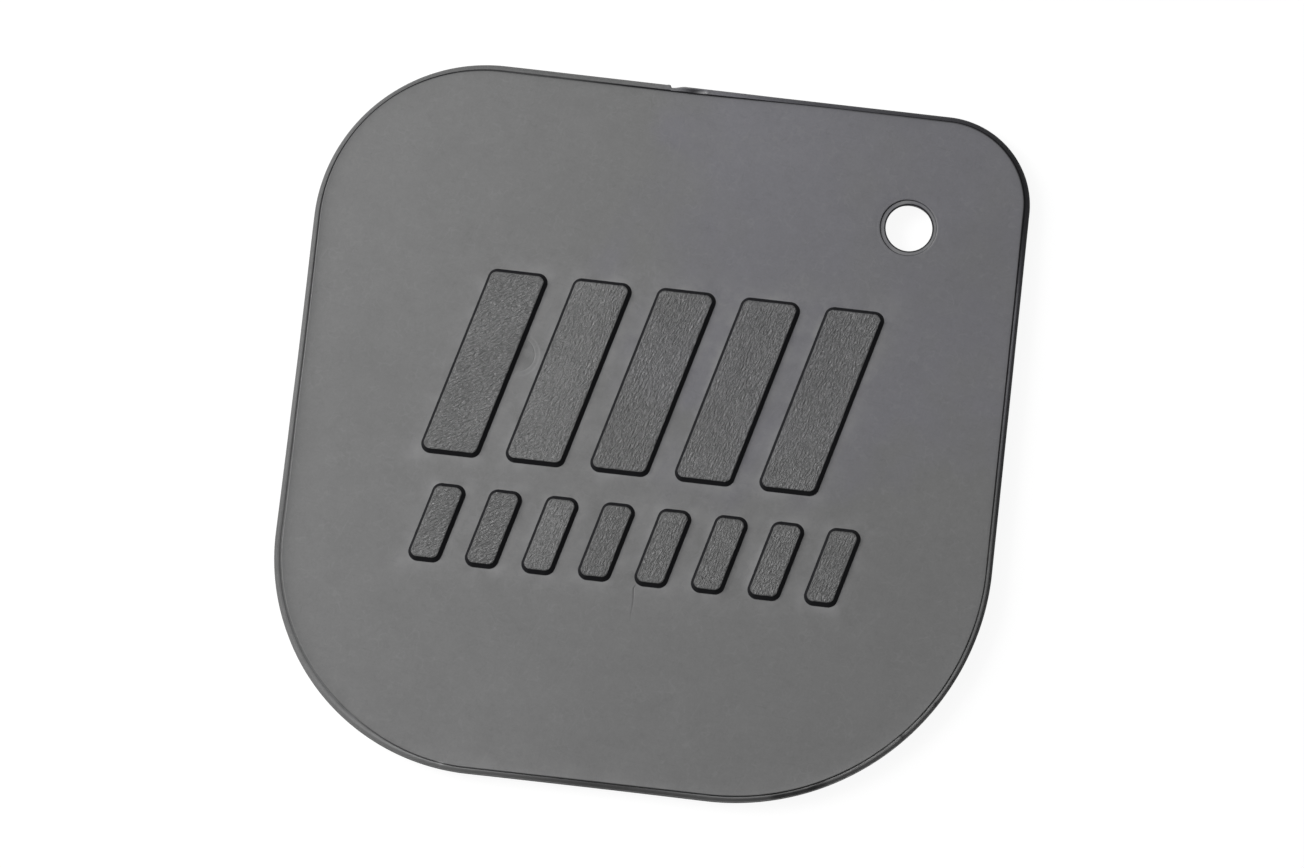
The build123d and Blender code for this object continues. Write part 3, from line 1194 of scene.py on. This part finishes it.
def plastic(name, speckle, grain_bump, lightness, specular, wrinkles=0.0):
    """Dark grey moulded plastic. Speckle, bump and wrinkles set how coarse its surface looks."""
    material = bpy.data.materials.new(name)
    material.use_nodes = True
    tree = material.node_tree
    place = plate_coordinates(tree)
    folds = leather(tree, place) if wrinkles else None
    colour = plastic_colour(tree, place, speckle, lightness, folds)
    painted_light_share = multiply(tree, attribute(tree, "haze"), clouds(tree, place, *PAINTED_LIGHT_CLOUDS))
    pale = fine_marks(tree, place, PALE_SCRATCHES, PALE_SQUIGGLES)
    dark = fine_marks(tree, place, DARK_SCRATCHES, DARK_SQUIGGLES)
    crease = attribute(tree, "crease")
    # Painted light: paler round the pads, in the hole's recess and inside the lower rim
    colour = mix_colour(tree, painted_light_share, colour, PAINTED_LIGHT_AND_SCRATCH_GREY)
    colour = mix_colour(tree, pale, colour, PAINTED_LIGHT_AND_SCRATCH_GREY)
    colour = mix_colour(tree, dark, colour, PAINTED_SHADE_AND_MARK_BLACK)
    # Painted shade in walls, grooves, creases and the torn hollow, with the weld line and dark
    # marks
    colour = mix_colour(tree, crease, colour, PAINTED_SHADE_AND_MARK_BLACK)
    # Painted light on the rim, with the fleck and the torn hollow's pale lips
    colour = mix_colour(tree, attribute(tree, "pale"), colour, PAINTED_LIGHT_AND_PALE_MARK_GREY)
    rough = clouds(tree, place, *ROUGHNESS)
    rough = combine(tree, "ADD", rough, multiply(tree, crease, CREASE_ROUGHNESS))
    height = combine(tree, "SUBTRACT", noise_node(tree, place, *BUMP_NOISE), dark)
    if folds:
        height = combine(tree, "ADD", height, multiply(tree, folds, wrinkles))
    inputs = {"Height": height, "Strength": grain_bump, "Distance": BUMP_DISTANCE * MM}
    normal = new_node(tree, "ShaderNodeBump", inputs).outputs["Normal"]
    surface = {"Base Color": colour, "Roughness": rough, "Normal": normal}
    surface["Specular IOR Level"] = specular
    set_inputs(tree, tree.nodes["Principled BSDF"], surface)
    return material


def scraper_materials():
    """The materials of the finishes, in their order."""
    matt = 0.1
    glossy = 0.5
    return (
        plastic("moulded_plastic", 0.04, grain_bump=0.2, lightness=0.9, specular=glossy),
        plastic("grained_plastic", 0.05, 1.0, lightness=0.73, specular=glossy, wrinkles=15.0),
        # Painted light: the rim's copy of the plastic is lighter than the face's
        plastic("rim_plastic", 0.05, grain_bump=0.3, lightness=1.12, specular=matt),
        # Painted shade: the walls' copy of the plastic is darker than the face's
        plastic("wall_plastic", 0.05, grain_bump=0.3, lightness=0.8, specular=matt),
    )


def add_attribute(mesh, name, values):
    """A value for each point of the mesh."""
    mesh.attributes.new(name, "FLOAT", "POINT").data.foreach_set("value", values)


def make_scraper():
    """The visible scraper, riding on the plate's body."""
    shell, pads = build_scraper()
    mesh = bpy.data.meshes.new("scraper_body")
    mesh.from_pydata([Vector(point) * MM for point in shell.points], [], shell.faces)
    mesh.polygons.foreach_set("material_index", shell.finishes)
    mesh.polygons.foreach_set("use_smooth", [True] * len(mesh.polygons))
    # Each point's painted shade, with the weld line and the dark marks
    add_attribute(mesh, "crease", shell.shades)
    add_attribute(mesh, "haze", [painted_light_at(point, pads) for point in shell.points])
    add_attribute(mesh, "pale", [pale_at(point) for point in shell.points])
    for material in scraper_materials():
        mesh.materials.append(material)
    mesh.validate()
    mesh.update()
    scraper = bpy.data.objects.new("scraper_body", mesh)
    bpy.context.scene.collection.objects.link(scraper)
    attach(scraper, "root")
    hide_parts("scraper_plate")


# Floor and world
FLOOR_SIZE = 4.0
FLOOR_DROP = 0.02
FLOOR_GREY = (0.25, 0.25, 0.25, 1)
FLOOR_GLOW = 0.93
FLOOR_SHADE = (0.09, 0.09, 0.09, 1)
WORLD_GREY = (0.05, 0.05, 0.05, 1)
WHITE = (1, 1, 1, 1)

# Lamps, in metres and watts
KEY_PLACE = (-0.28, 0.07, 0.24)
KEY_SIZE = 0.2
KEY_POWER = 1.85
TOP_PLACE = (-0.75, 0.3, 1.1)
TOP_SIZE = 0.8
TOP_POWER = 7.6


def seen_ray(tree):
    """1 for what the camera sees, straight or in a reflection or through glass."""
    path = new_node(tree, "ShaderNodeLightPath", {})
    straight = path.outputs["Is Camera Ray"]
    reflected = combine(tree, "MAXIMUM", straight, path.outputs["Is Glossy Ray"])
    return combine(tree, "MAXIMUM", reflected, path.outputs["Is Transmission Ray"])


def show_by_ray(owner, lit, seen, output_kind):
    """Ends a material or a world in one shader for its light and one for what is seen of it."""
    tree = owner.node_tree
    ends = {0: seen_ray(tree), 1: lit.outputs[0], 2: seen.outputs[0]}
    mixed = new_node(tree, "ShaderNodeMixShader", ends)
    new_node(tree, output_kind, {0: mixed.outputs[0]})


def emptied_tree(owner):
    """The node tree of a material or a world, with no node in it."""
    owner.use_nodes = True
    owner.node_tree.nodes.clear()
    return owner.node_tree


def floor_material():
    """Pale floor that looks white and keeps the object's shadow."""
    material = bpy.data.materials.new("pale_floor")
    tree = emptied_tree(material)
    plain = new_node(tree, "ShaderNodeBsdfDiffuse", {0: FLOOR_GREY})
    shade = new_node(tree, "ShaderNodeBsdfDiffuse", {0: FLOOR_SHADE})
    glow = new_node(tree, "ShaderNodeEmission", {1: FLOOR_GLOW})
    white = new_node(tree, "ShaderNodeAddShader", {0: shade.outputs[0], 1: glow.outputs[0]})
    show_by_ray(material, plain, white, "ShaderNodeOutputMaterial")
    return material


def make_floor():
    """The floor under the scraper, a hair below its back."""
    half = FLOOR_SIZE / 2
    corners = [(-half, -half, 0), (half, -half, 0), (half, half, 0), (-half, half, 0)]
    mesh = bpy.data.meshes.new("floor")
    mesh.from_pydata(corners, [], [(0, 1, 2, 3)])
    mesh.materials.append(floor_material())
    ground = bpy.data.objects.new("floor", mesh)
    ground.location.z = -FLOOR_DROP * MM
    bpy.context.scene.collection.objects.link(ground)


def make_world():
    """White behind everything the camera sees, and a dim even light on the object."""
    world = bpy.data.worlds.new("studio")
    tree = emptied_tree(world)
    dim = new_node(tree, "ShaderNodeBackground", {0: WORLD_GREY})
    white = new_node(tree, "ShaderNodeBackground", {0: WHITE})
    show_by_ray(world, dim, white, "ShaderNodeOutputWorld")
    bpy.context.scene.world = world


def softbox(name, place, size, power):
    """A square lamp that faces the middle of the scraper."""
    lamp = bpy.data.lights.new(name, "AREA")
    lamp.shape = "RECTANGLE"
    lamp.size = size
    lamp.size_y = size
    lamp.energy = power
    box = bpy.data.objects.new(name, lamp)
    box.location = place
    box.rotation_euler = (-Vector(place)).to_track_quat("-Z", "Y").to_euler()
    box.visible_camera = False
    bpy.context.scene.collection.objects.link(box)


# Camera, found from the plate's outline in the photograph, with its clip distances in metres
LENS = 160
SENSOR = 36
CLIP_START = 0.05
CLIP_END = 20
CAMERA_LEAN = radians(8.83)
CAMERA_AZIMUTH = radians(0.04)
CAMERA_ROLL = radians(6.49)
CAMERA_DISTANCE = 618.0
CAMERA_AIM = Vector((0.49, 0.39, 0))


def make_camera():
    """The camera, above the plate and a little towards its bottom side."""
    towards = (sin(CAMERA_LEAN) * sin(CAMERA_AZIMUTH), -sin(CAMERA_LEAN) * cos(CAMERA_AZIMUTH))
    back = Vector((*towards, cos(CAMERA_LEAN)))
    level = Vector((0, 1, 0)).cross(back).normalized()
    upright = back.cross(level)
    right = level * cos(CAMERA_ROLL) + upright * sin(CAMERA_ROLL)
    above = upright * cos(CAMERA_ROLL) - level * sin(CAMERA_ROLL)
    data = bpy.data.cameras.new("camera")
    data.lens = LENS
    data.sensor_width = SENSOR
    data.clip_start = CLIP_START
    data.clip_end = CLIP_END
    camera = bpy.data.objects.new("camera", data)
    turned = Matrix((right, above, back)).transposed().to_4x4()
    camera.matrix_world = Matrix.Translation((CAMERA_AIM + back * CAMERA_DISTANCE) * MM) @ turned
    bpy.context.scene.collection.objects.link(camera)
    bpy.context.scene.camera = camera


make_scraper()
make_floor()
make_world()
softbox("key_lamp", KEY_PLACE, KEY_SIZE, KEY_POWER)
softbox("top_lamp", TOP_PLACE, TOP_SIZE, TOP_POWER)
make_camera()
bpy.context.scene.view_settings.view_transform = "Standard"
